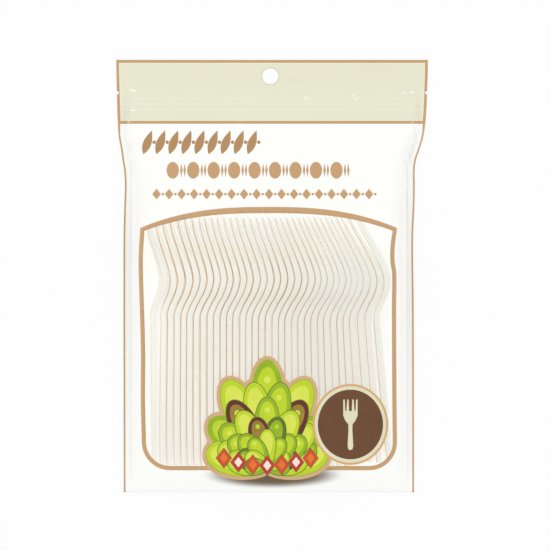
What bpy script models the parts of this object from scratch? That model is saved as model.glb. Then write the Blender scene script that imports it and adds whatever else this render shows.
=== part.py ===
"""A resealable bag of plastic forks, lying on its back: a printed film bag with a clear window, its zip, and forks on edge.

Metres, +Z up. X runs across the bag, Y from its foot to its header, and the window faces up.
"""

import bpy
import bmesh
from math import asin, cos, pi, radians, sin, tan

# Forks
FORK_COUNT = 34
HANDLE_LENGTH = 0.0942  # neck to handle end
HEAD_LENGTH = 0.0708  # neck to tips
HANDLE_DEPTH = 0.0039  # a fork's thickness, across the bag
BOWL_DEPTH = 0.0034
TINE_DEPTH = 0.0014  # at the tips
HEAD_WIDTH = 0.025  # a fork's width, which stands upright in the bag
TIP_WIDTH = 0.020
NECK_WIDTH = 0.0075
HANDLE_WIDTH = 0.0123
BOWL_OFFSET = 0.0105  # how far the bowl stands out from the line of the handle
TIP_OFFSET = -0.0010
BOWL_DISH = 0.0016
HANDLE_HOLLOW = 0.0023
TINES = 4
TINE_GAP = 0.0022  # between two tines, at their root
TINE_TIP_WIDTH = 0.0026

# The row of forks
NEST_GAP = 0.0005  # between two handles
CLEARANCE = 0.0003  # between any two pieces that touch
FIRST_FANNED = 18  # forks from here to the right lean, more and more
RIGHT_HEAD_LEAN = 8.0  # degrees, of the last fork's head, its tips to the left
RIGHT_HANDLE_LEAN = 5.0  # degrees, of the last fork's handle, its end to the right
LAST_SPREAD = 9  # forks up to here spread to the left
LEFT_HEAD_LEAN = 3.0
LEFT_HANDLE_LEAN = 1.5
FAN_POWER = 1.6

# Film bag
FILM = 0.0004
SEAM_GAP = 0.0001  # left between the two films where a seal begins
SEAL_WIDTH = 0.005
FOOT_MARGIN = 0.0196  # foot of the bag to the handle ends
HEADSPACE = 0.0612  # tips to the header's lower line
HEADER_HEIGHT = 0.0422
TOP_SEAL_HEIGHT = 0.019
LEFT_MARGIN = 0.0227  # side seam to the first fork's neck
RIGHT_MARGIN = 0.0251
LEFT_FLARE = 0.0051  # how much wider the header is than the body, on this side
RIGHT_FLARE = 0.0093
SEAM_RISE = 0.3  # height of the side seam, as a share of the pack's thickness there
SHOULDER_POWER = 1.8  # roundness of the film where it comes down at the sides and the foot
HEADER_SHOULDER = 0.008  # side seam to the zip's full height
HANG_HOLE = 0.0105
HANG_HOLE_DROP = 0.011  # top edge to the hang hole's centre
HANG_HOLE_SHIFT = -0.001
NOTCH_DEPTH = 0.0017
NOTCH_HEIGHT = 0.0027
NOTCH_DROP = 0.022

# Window
WINDOW_LEFT = 0.0127  # side seam to the window
WINDOW_RIGHT = 0.0142
WINDOW_FOOT = 0.0190  # foot of the bag to the window
WINDOW_ARCH = 0.0128  # rise of the arched top
ARCH_REVEAL = 0.0012  # tips to the top of the arch
WINDOW_CORNER = 0.017

# Zip
ZIP_WIDTH = 0.0075
ZIP_BASE = 0.0005
ZIP_WALL = 0.0006
ZIP_RIB = 0.0012  # height of the two walls of the back track
ZIP_BEAD = 0.0008
ZIP_DROP = 0.0266  # top edge to the zip's upper edge

# Colours
WHITE_FILM = (0.96, 0.96, 0.93)
CLEAR_FILM = (0.97, 0.97, 0.95)
ZIP_PLASTIC = (0.85, 0.84, 0.76)
FORK_PLASTIC = (0.93, 0.92, 0.88)

# Worked out from the sizes above
PITCH = HANDLE_DEPTH + NEST_GAP
ROW_WIDTH = (FORK_COUNT - 1) * PITCH
BAG_WIDTH = LEFT_FLARE + LEFT_MARGIN + ROW_WIDTH + RIGHT_MARGIN + RIGHT_FLARE
BAG_LENGTH = FOOT_MARGIN + HANDLE_LENGTH + HEAD_LENGTH + HEADSPACE + HEADER_HEIGHT
FOOT_Y = -BAG_LENGTH / 2
TOP_Y = BAG_LENGTH / 2
HEADER_Y = TOP_Y - HEADER_HEIGHT
TOP_SEAL_Y = TOP_Y - TOP_SEAL_HEIGHT
ZIP_TOP_Y = TOP_Y - ZIP_DROP
ZIP_FOOT_Y = ZIP_TOP_Y - ZIP_WIDTH
HANDLE_END_Y = FOOT_Y + FOOT_MARGIN
NECK_Y = HANDLE_END_Y + HANDLE_LENGTH
TIP_Y = NECK_Y + HEAD_LENGTH
FIRST_NECK_X = -BAG_WIDTH / 2 + LEFT_FLARE + LEFT_MARGIN
LAST_NECK_X = FIRST_NECK_X + ROW_WIDTH
LEFT_SEAM_X = FIRST_NECK_X - LEFT_MARGIN
RIGHT_SEAM_X = LAST_NECK_X + RIGHT_MARGIN

# A fork from handle end to tine root: its length along, then how far out, how thick and how wide it is there,
# how deep its bowl is dished and how deep its handle is hollow at the back.
ROOT_ALONG = 0.45 * HEAD_LENGTH
HANDLE_REST = 0.955 * HANDLE_LENGTH  # where the handle is widest
STATIONS = (
    (-HANDLE_LENGTH, 0.0, HANDLE_DEPTH, 0.77 * HANDLE_WIDTH, 0.0, HANDLE_HOLLOW),
    (-HANDLE_REST, 0.0, HANDLE_DEPTH, HANDLE_WIDTH, 0.0, HANDLE_HOLLOW),
    (-0.3 * HANDLE_LENGTH, 0.0, HANDLE_DEPTH, (HANDLE_WIDTH + NECK_WIDTH) / 2, 0.0, HANDLE_HOLLOW),
    (0.0, 0.0, HANDLE_DEPTH, NECK_WIDTH, 0.0, 0.0),
    (0.066 * HEAD_LENGTH, 0.05 * BOWL_OFFSET, HANDLE_DEPTH, 1.05 * NECK_WIDTH, 0.0, 0.0),
    (0.16 * HEAD_LENGTH, 0.32 * BOWL_OFFSET, BOWL_DEPTH, 0.46 * HEAD_WIDTH, 0.5 * BOWL_DISH, 0.0),
    (0.255 * HEAD_LENGTH, 0.70 * BOWL_OFFSET, BOWL_DEPTH, 0.75 * HEAD_WIDTH, BOWL_DISH, 0.0),
    (0.345 * HEAD_LENGTH, 0.94 * BOWL_OFFSET, BOWL_DEPTH, 0.94 * HEAD_WIDTH, BOWL_DISH, 0.0),
)
RIM_SHARE = 0.22  # width of the slope inside each rim, as a share of the fork's width

# A fork lies on the edge of its head and of its handle end, so it tilts and its neck is off the film.
FORK_TILT = asin((HEAD_WIDTH - HANDLE_WIDTH) / 2 / (ROOT_ALONG + HANDLE_REST))
FORK_FLOOR = FILM + CLEARANCE
NECK_Z = FORK_FLOOR + HANDLE_REST * sin(FORK_TILT) + HANDLE_WIDTH / 2 * cos(FORK_TILT)
HANDLE_TOP = NECK_Z - HANDLE_REST * sin(FORK_TILT) + HANDLE_WIDTH / 2 * cos(FORK_TILT)
HEAD_TOP = NECK_Z + ROOT_ALONG * sin(FORK_TILT) + HEAD_WIDTH / 2 * cos(FORK_TILT)
TIP_TOP = NECK_Z + HEAD_LENGTH * sin(FORK_TILT) + TIP_WIDTH / 2 * cos(FORK_TILT)

# The outermost points of the row, which the film has to pass.
LEFT_BLOCK_X = FIRST_NECK_X - HANDLE_DEPTH / 2 - HANDLE_LENGTH * tan(radians(LEFT_HANDLE_LEAN))
RIGHT_BLOCK_X = LAST_NECK_X + max(
    HANDLE_DEPTH / 2 + HANDLE_LENGTH * tan(radians(RIGHT_HANDLE_LEAN)),
    BOWL_OFFSET + BOWL_DEPTH / 2 - ROOT_ALONG * tan(radians(RIGHT_HEAD_LEAN)),
)

# Heights of the front film, on the outside
FIN = 2 * FILM + SEAM_GAP
ABOVE_FORKS = CLEARANCE + FILM
ZIP_MESH = 2 * ZIP_BASE + ZIP_RIB + CLEARANCE
ZIP_FILM_TOP = 2 * (FILM + CLEARANCE) + ZIP_MESH


def eased(t, power):
    """0 to 1, leaving 0 steeply and arriving flat at 1."""
    t = min(1.0, max(0.0, t))
    return 1 - (1 - t) ** power


def smooth(t):
    t = min(1.0, max(0.0, t))
    return t * t * (3 - 2 * t)


def flare(y):
    """1 at the top of the header, 0 in the body of the bag."""
    body_y = HEADER_Y - 0.45 * HEADSPACE
    if y >= HEADER_Y:
        return 0.76 + 0.24 * (y - HEADER_Y) / HEADER_HEIGHT
    return 0.76 * (0.5 * smooth((y - body_y) / (HEADER_Y - body_y))
                   + 0.5 * min(1.0, max(0.0, (y - body_y) / (HEADER_Y - body_y))))


def left_edge(y):
    return LEFT_SEAM_X - LEFT_FLARE * flare(y)


def right_edge(y):
    return RIGHT_SEAM_X + RIGHT_FLARE * flare(y)


def crown(y):
    """Height of the front film over the middle of the bag."""
    head_y = NECK_Y + ROOT_ALONG
    rest_y = NECK_Y - HANDLE_REST
    foot_clear_y = HANDLE_END_Y - CLEARANCE
    tip_clear_y = TIP_Y + CLEARANCE
    handles = HANDLE_TOP + ABOVE_FORKS
    heads = HEAD_TOP + ABOVE_FORKS
    tips = max(TIP_TOP, HEAD_TOP) + ABOVE_FORKS
    if y < foot_clear_y:
        return FIN + (handles - FIN) * eased((y - FOOT_Y) / (foot_clear_y - FOOT_Y), SHOULDER_POWER)
    if y < rest_y:
        return handles
    if y < head_y:
        return handles + (heads - handles) * (y - rest_y) / (head_y - rest_y)
    if y < tip_clear_y:
        return heads + (tips - heads) * (y - head_y) / (tip_clear_y - head_y)
    if y < ZIP_FOOT_Y - CLEARANCE:
        t = (y - tip_clear_y) / (ZIP_FOOT_Y - CLEARANCE - tip_clear_y)
        return tips + (ZIP_FILM_TOP - tips) * (0.5 * t + 0.5 * smooth(t))
    if y < ZIP_TOP_Y + CLEARANCE:
        return ZIP_FILM_TOP
    t = (y - ZIP_TOP_Y - CLEARANCE) / (TOP_SEAL_Y - ZIP_TOP_Y - CLEARANCE)
    return ZIP_FILM_TOP + (FIN - ZIP_FILM_TOP) * smooth(t)


def shoulders(y):
    """How far inside each edge the film reaches its full height."""
    t = smooth((y - TIP_Y) / (ZIP_FOOT_Y - TIP_Y))
    left = LEFT_BLOCK_X - CLEARANCE - left_edge(y)
    right = right_edge(y) - RIGHT_BLOCK_X - CLEARANCE
    return left + (HEADER_SHOULDER - left) * t, right + (HEADER_SHOULDER - right) * t


def edge_shares(inset, full):
    """How much of their full height the front and the back film have, this far inside the edge."""
    front = eased((inset - SEAL_WIDTH) / (full - SEAL_WIDTH), SHOULDER_POWER)
    back = (1 - min(1.0, inset / full)) ** 2
    return front, back


def film_heights(y, inset, full):
    """Outer heights of the back and the front film."""
    front, back = edge_shares(inset, full)
    rise = crown(y) - FIN
    low = SEAM_RISE * rise * back
    high = low + FIN + (rise - low) * front
    return low, high


def film_columns(y):
    """Places across the bag: x, distance inside the nearer edge, and that side's shoulder."""
    left_full, right_full = shoulders(y)
    left, right = left_edge(y), right_edge(y)
    places = [(left, 0.0, left_full)]
    shares = (0.0, 0.15, 0.35, 0.62, 1.0)
    for share in shares:
        inset = SEAL_WIDTH + share * (left_full - SEAL_WIDTH)
        places.append((left + inset, inset, left_full))
    for share in (0.25, 0.5, 0.75):
        x = left + left_full + share * (right - right_full - left - left_full)
        places.append((x, left_full, left_full))
    for share in reversed(shares):
        inset = SEAL_WIDTH + share * (right_full - SEAL_WIDTH)
        places.append((right - inset, inset, right_full))
    places.append((right, 0.0, right_full))
    return places


def film_rows():
    """Places along the bag, foot to top."""
    foot_clear_y = HANDLE_END_Y - CLEARANCE
    rows = [FOOT_Y]
    rows += [FOOT_Y + (foot_clear_y - FOOT_Y) * share for share in (0.03, 0.15, 0.38, 0.68, 1.0)]
    rows.append(NECK_Y - HANDLE_REST)
    rows += [NECK_Y - HANDLE_REST + (ROOT_ALONG + HANDLE_REST) * share for share in (0.34, 0.67, 1.0)]
    rows.append(TIP_Y + CLEARANCE)
    slope_y = TIP_Y + CLEARANCE
    slope_end = ZIP_FOOT_Y - CLEARANCE
    rows += [slope_y + (slope_end - slope_y) * share for share in (0.18, 0.36, 0.54, 0.72, 0.88, 1.0)]
    rows.append(ZIP_TOP_Y + CLEARANCE)
    rows.append((ZIP_TOP_Y + TOP_SEAL_Y) / 2)
    rows.append(TOP_SEAL_Y)
    rows.append(TOP_Y)
    return rows


def material(name, colour, roughness, alpha=1.0):
    made = bpy.data.materials.new(name)
    made.use_nodes = True
    shader = made.node_tree.nodes["Principled BSDF"]
    shader.inputs["Base Color"].default_value = (*colour, 1.0)
    shader.inputs["Roughness"].default_value = roughness
    shader.inputs["Metallic"].default_value = 0.0
    shader.inputs["Alpha"].default_value = alpha
    return made


def add_object(name, mesh, collection):
    made = bpy.data.objects.new(name, mesh)
    collection.objects.link(made)
    return made


def add_cutter(name, mesh):
    made = add_object(name, mesh, cutters)
    made.hide_render = True
    made.display_type = "WIRE"
    return made


def boolean(piece, operation, cutter):
    cut = piece.modifiers.new(cutter.name, "BOOLEAN")
    cut.operation = operation
    cut.solver = "EXACT"
    cut.object = cutter
    return cut


def skin(mesh_name, lower, upper):
    """A closed mesh between two height fields over the same grid of points."""
    bm = bmesh.new()
    low = [[bm.verts.new(point) for point in row] for row in lower]
    high = [[bm.verts.new(point) for point in row] for row in upper]
    last_row, last = len(low) - 1, len(low[0]) - 1
    for i in range(last_row):
        for j in range(last):
            bm.faces.new((high[i][j], high[i][j + 1], high[i + 1][j + 1]))
            bm.faces.new((high[i][j], high[i + 1][j + 1], high[i + 1][j]))
            bm.faces.new((low[i][j], low[i + 1][j + 1], low[i][j + 1]))
            bm.faces.new((low[i][j], low[i + 1][j], low[i + 1][j + 1]))
    for i in range(last_row):
        bm.faces.new((low[i][0], high[i][0], high[i + 1][0], low[i + 1][0]))
        bm.faces.new((low[i][last], low[i + 1][last], high[i + 1][last], high[i][last]))
    for j in range(last):
        bm.faces.new((low[0][j], low[0][j + 1], high[0][j + 1], high[0][j]))
        bm.faces.new((low[last_row][j], high[last_row][j], high[last_row][j + 1], low[last_row][j + 1]))
    mesh = bpy.data.meshes.new(mesh_name)
    bm.to_mesh(mesh)
    bm.free()
    return mesh


def film_mesh(mesh_name, rows, inside):
    """The bag's outer form, or the space inside it, one film further in and inside the seals."""
    lower, upper = [], []
    for y in rows:
        places = film_columns(y)
        if inside:
            places = places[1:-1]
        low_row, high_row = [], []
        for x, inset, full in places:
            low, high = film_heights(y, inset, full)
            low_row.append((x, y, low + FILM * inside))
            high_row.append((x, y, high - FILM * inside))
        lower.append(low_row)
        upper.append(high_row)
    return skin(mesh_name, lower, upper)


def arc(centre_x, centre_y, radius, start, end, steps):
    """Points on an arc, angles in degrees."""
    angles = [radians(start + (end - start) * k / steps) for k in range(steps + 1)]
    return [(centre_x + radius * cos(a), centre_y + radius * sin(a)) for a in angles]


def window_outline(inset):
    """The window seen from above: arched top, rounded foot corners, this far inside its edge."""
    left = LEFT_SEAM_X + WINDOW_LEFT + inset
    right = RIGHT_SEAM_X - WINDOW_RIGHT - inset
    foot = FOOT_Y + WINDOW_FOOT + inset
    top = TIP_Y + ARCH_REVEAL - inset
    corner = WINDOW_CORNER - inset
    half = (right - left) / 2
    radius = (half ** 2 + WINDOW_ARCH ** 2) / (2 * WINDOW_ARCH)
    spread = 180 / pi * asin(half / radius)
    points = arc(right - corner, foot + corner, corner, 270, 360, 6)
    points += arc((left + right) / 2, top - radius, radius, 90 - spread, 90 + spread, 12)
    points += arc(left + corner, foot + corner, corner, 180, 270, 6)
    return points


def prism(mesh_name, outline, low, high):
    """A flat outline as a plate between two heights."""
    flat = bpy.data.curves.new(mesh_name, "CURVE")
    flat.dimensions = "2D"
    flat.fill_mode = "BOTH"
    flat.extrude = (high - low) / 2
    line = flat.splines.new("POLY")
    line.points.add(len(outline) - 1)
    for point, (x, y) in zip(line.points, outline):
        point.co = (x, y, 0.0, 1.0)
    line.use_cyclic_u = True
    drawn = add_object(mesh_name, flat, cutters)
    mesh = bpy.data.meshes.new_from_object(drawn.evaluated_get(bpy.context.evaluated_depsgraph_get()))
    bpy.data.objects.remove(drawn)
    bm = bmesh.new()
    bm.from_mesh(mesh)
    bmesh.ops.remove_doubles(bm, verts=bm.verts, dist=0.000001)
    bmesh.ops.translate(bm, verts=bm.verts, vec=(0.0, 0.0, (low + high) / 2))
    bmesh.ops.recalc_face_normals(bm, faces=bm.faces)
    bm.to_mesh(mesh)
    bm.free()
    return mesh


def fork_ring(width, depth, dish, hollow):
    """Eight points around a fork: across its thickness, then across its width."""
    half, thick, inner = width / 2, depth / 2, width / 2 - RIM_SHARE * width
    return (
        (-thick, -half),
        (-thick + dish, -inner),
        (-thick + dish, inner),
        (-thick, half),
        (thick, half),
        (thick - hollow, inner),
        (thick - hollow, -inner),
        (thick, -half),
    )


def tine_edges(width, tine_width):
    """Lower and upper edge of each tine, evenly spread over a width."""
    gap = (width - TINES * tine_width) / (TINES - 1)
    return [(-width / 2 + k * (tine_width + gap), -width / 2 + k * (tine_width + gap) + tine_width)
            for k in range(TINES)]


def fork_mesh(mesh_name, flex):
    """One fork, neck at the origin, tips to +Y, its width along Z; its handle bends back by flex degrees."""
    bm = bmesh.new()

    def ring(points, along, out):
        bend = along * tan(radians(flex)) if along < 0 else 0.0
        return [bm.verts.new((out + bend + t, along, w)) for t, w in points]

    rings = [ring(fork_ring(width, depth, dish, hollow), along, out)
             for along, out, depth, width, dish, hollow in STATIONS]
    bm.faces.new(rings[0][::-1])
    for back, front in zip(rings, rings[1:]):
        for k in range(8):
            n = (k + 1) % 8
            bm.faces.new((back[k], back[n], front[n], front[k]))

    root_tine = (HEAD_WIDTH - (TINES - 1) * TINE_GAP) / TINES
    edges = tine_edges(HEAD_WIDTH, root_tine)
    flat = [w for pair in edges for w in pair]
    front_root = ring([(-BOWL_DEPTH / 2, w) for w in flat], ROOT_ALONG, BOWL_OFFSET)
    back_root = ring([(BOWL_DEPTH / 2, w) for w in flat], ROOT_ALONG, BOWL_OFFSET)
    last = rings[-1]
    lower, upper = 0, len(flat) - 1
    bm.faces.new((last[0], last[1], front_root[1], front_root[lower]))
    bm.faces.new((last[1], last[2], *front_root[upper - 1:0:-1]))
    bm.faces.new((last[2], last[3], front_root[upper], front_root[upper - 1]))
    bm.faces.new((last[3], last[4], back_root[upper], front_root[upper]))
    bm.faces.new((last[4], last[5], back_root[upper - 1], back_root[upper]))
    bm.faces.new((last[5], last[6], *back_root[1:upper]))
    bm.faces.new((last[6], last[7], back_root[lower], back_root[1]))
    bm.faces.new((last[7], last[0], front_root[lower], back_root[lower]))
    for k in range(1, upper, 2):
        bm.faces.new((front_root[k], back_root[k], back_root[k + 1], front_root[k + 1]))

    mid_width = (HEAD_WIDTH + TIP_WIDTH) / 2 + 0.2 * (HEAD_WIDTH - TIP_WIDTH)
    mid_along = ROOT_ALONG + 0.2 * (HEAD_LENGTH - ROOT_ALONG)
    mid_out = TIP_OFFSET + 0.85 * (BOWL_OFFSET - TIP_OFFSET)
    mid_depth = TINE_DEPTH + 0.7 * (BOWL_DEPTH - TINE_DEPTH)
    mid_edges = tine_edges(mid_width, root_tine + 0.2 * (TINE_TIP_WIDTH - root_tine))
    tip_edges = tine_edges(TIP_WIDTH, TINE_TIP_WIDTH)
    for k in range(TINES):
        section = [front_root[2 * k], front_root[2 * k + 1], back_root[2 * k + 1], back_root[2 * k]]
        for along, out, depth, (low, high) in (
            (mid_along, mid_out, mid_depth, mid_edges[k]),
            (HEAD_LENGTH, TIP_OFFSET, TINE_DEPTH, tip_edges[k]),
        ):
            half = depth / 2
            following = ring([(-half, low), (-half, high), (half, high), (half, low)], along, out)
            for n in range(4):
                m = (n + 1) % 4
                bm.faces.new((section[n], section[m], following[m], following[n]))
            section = following
        bm.faces.new(section)
    bmesh.ops.recalc_face_normals(bm, faces=bm.faces)
    bmesh.ops.triangulate(bm, faces=bm.faces)
    mesh = bpy.data.meshes.new(mesh_name)
    bm.to_mesh(mesh)
    bm.free()
    return mesh


def leans(number):
    """How far a fork's head and handle lean, in degrees, its tips to the left."""
    if number > FIRST_FANNED:
        share = ((number - FIRST_FANNED) / (FORK_COUNT - FIRST_FANNED)) ** FAN_POWER
        return RIGHT_HEAD_LEAN * share, RIGHT_HANDLE_LEAN * share
    if number < LAST_SPREAD:
        share = ((LAST_SPREAD - number) / (LAST_SPREAD - 1)) ** FAN_POWER
        return LEFT_HEAD_LEAN * share, -LEFT_HANDLE_LEAN * share
    return 0.0, 0.0


def add_forks():
    plastic = material("fork_plastic", FORK_PLASTIC, 0.35)
    straight = fork_mesh("fork_straight", 0.0)
    straight.materials.append(plastic)
    for number in range(1, FORK_COUNT + 1):
        head, handle = leans(number)
        name = f"fork_{number:02d}"
        mesh = straight
        if head != handle:
            mesh = fork_mesh(name, head - handle)
            mesh.materials.append(plastic)
        fork = add_object(name, mesh, parts)
        fork.location = (FIRST_NECK_X + (number - 1) * PITCH, NECK_Y, NECK_Z)
        fork.rotation_euler = (FORK_TILT, 0.0, radians(head))


def add_pouch():
    outer = film_mesh("pouch", film_rows(), False)
    outer.materials.append(material("white_film", WHITE_FILM, 0.3))
    pouch = add_object("pouch", outer, parts)
    window_floor = (FIN + HANDLE_TOP) / 2
    far_above = 2 * HEAD_TOP
    window = add_cutter("window_cut", prism("window_cut", window_outline(0.0), window_floor, far_above))
    hole_x = (left_edge(TOP_Y) + right_edge(TOP_Y)) / 2 + HANG_HOLE_SHIFT
    circle = arc(hole_x, TOP_Y - HANG_HOLE_DROP, HANG_HOLE / 2, 0, 345, 23)
    hole = add_cutter("hang_hole_cut", prism("hang_hole_cut", circle, -FIN, 2 * FIN))
    boolean(pouch, "DIFFERENCE", inside)
    boolean(pouch, "DIFFERENCE", window)
    boolean(pouch, "DIFFERENCE", hole)
    for side, edge, way in (("left", left_edge, 1), ("right", right_edge, -1)):
        y = TOP_Y - NOTCH_DROP
        x = edge(y)
        wedge = [
            (x + way * NOTCH_DEPTH, y),
            (x - way * NOTCH_DEPTH, y + NOTCH_HEIGHT),
            (x - way * NOTCH_DEPTH, y - NOTCH_HEIGHT),
        ]
        notch = add_cutter(f"notch_{side}", prism(f"notch_{side}", wedge, -FIN, 2 * ZIP_FILM_TOP))
        boolean(pouch, "DIFFERENCE", notch)


def add_window_film():
    pane = film_mesh("window_film", film_rows(), False)
    pane.materials.append(material("clear_film", CLEAR_FILM, 0.05, 0.2))
    film = add_object("window_film", pane, parts)
    window_floor = (FIN + HANDLE_TOP) / 2
    keep = add_cutter("window_keep", prism("window_keep", window_outline(CLEARANCE), window_floor, 2 * HEAD_TOP))
    boolean(film, "DIFFERENCE", inside)
    boolean(film, "INTERSECT", keep)


def add_zip_track(name, profile):
    """A strip across the bag with this section, given as distance along the bag and height."""
    left = left_edge(ZIP_TOP_Y) + HEADER_SHOULDER + CLEARANCE
    right = right_edge(ZIP_FOOT_Y) - HEADER_SHOULDER - CLEARANCE
    mesh = prism(name, profile, left, right)
    mesh.materials.append(material(name, ZIP_PLASTIC, 0.35))
    track = add_object(name, mesh, parts)
    track.rotation_euler = (pi / 2, 0.0, pi / 2)


def add_zip():
    middle = (ZIP_FOOT_Y + ZIP_TOP_Y) / 2
    base = FILM + CLEARANCE
    floor = base + ZIP_BASE
    top = floor + ZIP_RIB
    inner = ZIP_BEAD / 2 + CLEARANCE
    outer = inner + ZIP_WALL
    add_zip_track("zip_back_track", [
        (ZIP_FOOT_Y, base), (ZIP_TOP_Y, base), (ZIP_TOP_Y, floor),
        (middle + outer, floor), (middle + outer, top), (middle + inner, top), (middle + inner, floor),
        (middle - inner, floor), (middle - inner, top), (middle - outer, top), (middle - outer, floor),
        (ZIP_FOOT_Y, floor),
    ])
    ceiling = top + CLEARANCE
    roof = ceiling + ZIP_BASE
    bead = floor + CLEARANCE
    add_zip_track("zip_front_track", [
        (ZIP_FOOT_Y, ceiling), (middle - ZIP_BEAD / 2, ceiling), (middle - ZIP_BEAD / 2, bead),
        (middle + ZIP_BEAD / 2, bead), (middle + ZIP_BEAD / 2, ceiling), (ZIP_TOP_Y, ceiling),
        (ZIP_TOP_Y, roof), (ZIP_FOOT_Y, roof),
    ])


for old in list(bpy.data.objects):
    bpy.data.objects.remove(old)
parts = bpy.data.collections.new("plastic_cutlery_pack")
bpy.context.scene.collection.children.link(parts)
cutters = bpy.data.collections.new("cutters")
bpy.context.scene.collection.children.link(cutters)
inside = add_cutter("inside", film_mesh("inside", film_rows()[1:-1], True))
add_pouch()
add_window_film()
add_zip()
add_forks()
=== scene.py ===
"""A resealable film bag of plastic forks, lying on its back and seen from above."""

from math import asin, cos, pi, radians, sin, sqrt, tan

import bpy
import bmesh
import numpy as np
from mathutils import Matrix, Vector, geometry, kdtree, noise


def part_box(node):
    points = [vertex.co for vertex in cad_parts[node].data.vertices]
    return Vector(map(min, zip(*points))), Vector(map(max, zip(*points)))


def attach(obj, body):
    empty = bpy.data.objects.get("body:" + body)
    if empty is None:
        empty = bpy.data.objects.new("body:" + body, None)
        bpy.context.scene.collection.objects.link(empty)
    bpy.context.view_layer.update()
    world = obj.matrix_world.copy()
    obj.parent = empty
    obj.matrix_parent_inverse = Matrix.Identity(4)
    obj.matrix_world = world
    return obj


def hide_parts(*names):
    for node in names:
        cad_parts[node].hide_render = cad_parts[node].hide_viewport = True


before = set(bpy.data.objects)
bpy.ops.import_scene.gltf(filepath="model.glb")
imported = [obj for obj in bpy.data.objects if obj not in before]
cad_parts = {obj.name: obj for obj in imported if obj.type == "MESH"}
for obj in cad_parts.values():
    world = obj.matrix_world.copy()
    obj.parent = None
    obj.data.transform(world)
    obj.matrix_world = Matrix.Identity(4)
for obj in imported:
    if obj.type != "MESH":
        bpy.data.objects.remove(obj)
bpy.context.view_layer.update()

# The film bag
# One blown polyethylene tube, printed outside, folded at the foot and heat sealed down both sides and
# across the top. It lies on its back over the row of forks, so its front is a long low wedge with
# rounded shoulders, and the header with the zip lies flat.
MM = 0.001
bag_low, bag_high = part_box("pouch")
FOOT_Y, TOP_Y = bag_low.y, bag_high.y
HEADER_Y = TOP_Y - 42.2 * MM
TOP_SEAL_Y = TOP_Y - 19 * MM
ZIP_TOP_Y = TOP_Y - 26.6 * MM
ZIP_FOOT_Y = ZIP_TOP_Y - 7.5 * MM
HANDLE_END_Y = FOOT_Y + 19.6 * MM
NECK_Y = HANDLE_END_Y + 94.2 * MM
TIP_Y = NECK_Y + 70.8 * MM
BODY_LEFT = bag_low.x + 5.1 * MM
BODY_RIGHT = bag_high.x - 9.3 * MM
SEAL_WIDTH = 5 * MM
SEALED = 0.45 * MM  # two films, sealed together
HEADER_SHOULDER = 8 * MM
LEFT_SHOULDER, RIGHT_SHOULDER = 17.8 * MM, 15.0 * MM
HANDLES_TOP, HEADS_TOP, ZIP_TOP = 13.7 * MM, 26.4 * MM, 3.9 * MM
REST_Y = NECK_Y - 90.0 * MM
ROOT_Y = NECK_Y + 31.9 * MM
SEAM_RISE = 0.3
ZIP_RIBS = (ZIP_FOOT_Y, (ZIP_FOOT_Y + ZIP_TOP_Y) / 2, ZIP_TOP_Y, TOP_SEAL_Y)


def clamp(t):
    return min(1.0, max(0.0, t))


def smooth(t):
    t = clamp(t)
    return t * t * (3 - 2 * t)


def through(points, at):
    """A smooth curve through points of (place, value), read at one place."""
    if at <= points[0][0]:
        return points[0][1]
    if at >= points[-1][0]:
        return points[-1][1]
    k = max(n for n in range(len(points) - 1) if points[n][0] <= at)
    (x0, v0), (x1, v1) = points[k], points[k + 1]
    before = points[max(0, k - 1)]
    after = points[min(len(points) - 1, k + 2)]
    m0 = (v1 - before[1]) / (x1 - before[0])
    m1 = (after[1] - v0) / (after[0] - x0)
    h = x1 - x0
    t = (at - x0) / h
    return ((2 * t ** 3 - 3 * t ** 2 + 1) * v0 + (t ** 3 - 2 * t ** 2 + t) * h * m0
            + (3 * t ** 2 - 2 * t ** 3) * v1 + (t ** 3 - t ** 2) * h * m1)


# How far each side stands off the body's straight seams, outwards, from the foot up to the header.
LEFT_SIDE = ((-144, 0.0), (23, 0.1), (47, -0.4), (60, -0.8), (70, -0.3), (77, 0.8), (83.5, 1.7), (93.4, 3.4),
             (104.7, 4.1), (113.4, 4.4), (133, 4.9), (144, 5.1))
RIGHT_SIDE = ((-144, 0.4), (-119, 0.4), (-16, 0.1), (23.6, -0.3), (47, 0.6), (60, 0.9), (70, 0.8), (77, 1.6),
              (83.5, 3.8), (93.4, 6.7), (104.7, 8.2), (113.4, 8.8), (133, 9.5), (144, 9.7))


def left_edge(y):
    return BODY_LEFT - through(LEFT_SIDE, y / MM) * MM


def right_edge(y):
    return BODY_RIGHT + through(RIGHT_SIDE, y / MM) * MM


def crown(y):
    """Height of the front film over the middle of the bag."""
    if y < HANDLE_END_Y:
        return SEALED + (HANDLES_TOP - SEALED) * (1 - (1 - (y - FOOT_Y) / (HANDLE_END_Y - FOOT_Y)) ** 1.8)
    if y < REST_Y:
        return HANDLES_TOP
    if y < ROOT_Y:
        return HANDLES_TOP + (HEADS_TOP - HANDLES_TOP) * (y - REST_Y) / (ROOT_Y - REST_Y)
    if y < TIP_Y:
        return HEADS_TOP
    if y < ZIP_FOOT_Y:
        t = (y - TIP_Y) / (ZIP_FOOT_Y - TIP_Y)
        return HEADS_TOP + (ZIP_TOP - HEADS_TOP) * (0.5 * t + 0.5 * smooth(t))
    if y < ZIP_TOP_Y:
        return ZIP_TOP
    return ZIP_TOP + (SEALED - ZIP_TOP) * smooth((y - ZIP_TOP_Y) / (TOP_SEAL_Y - ZIP_TOP_Y))


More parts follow.
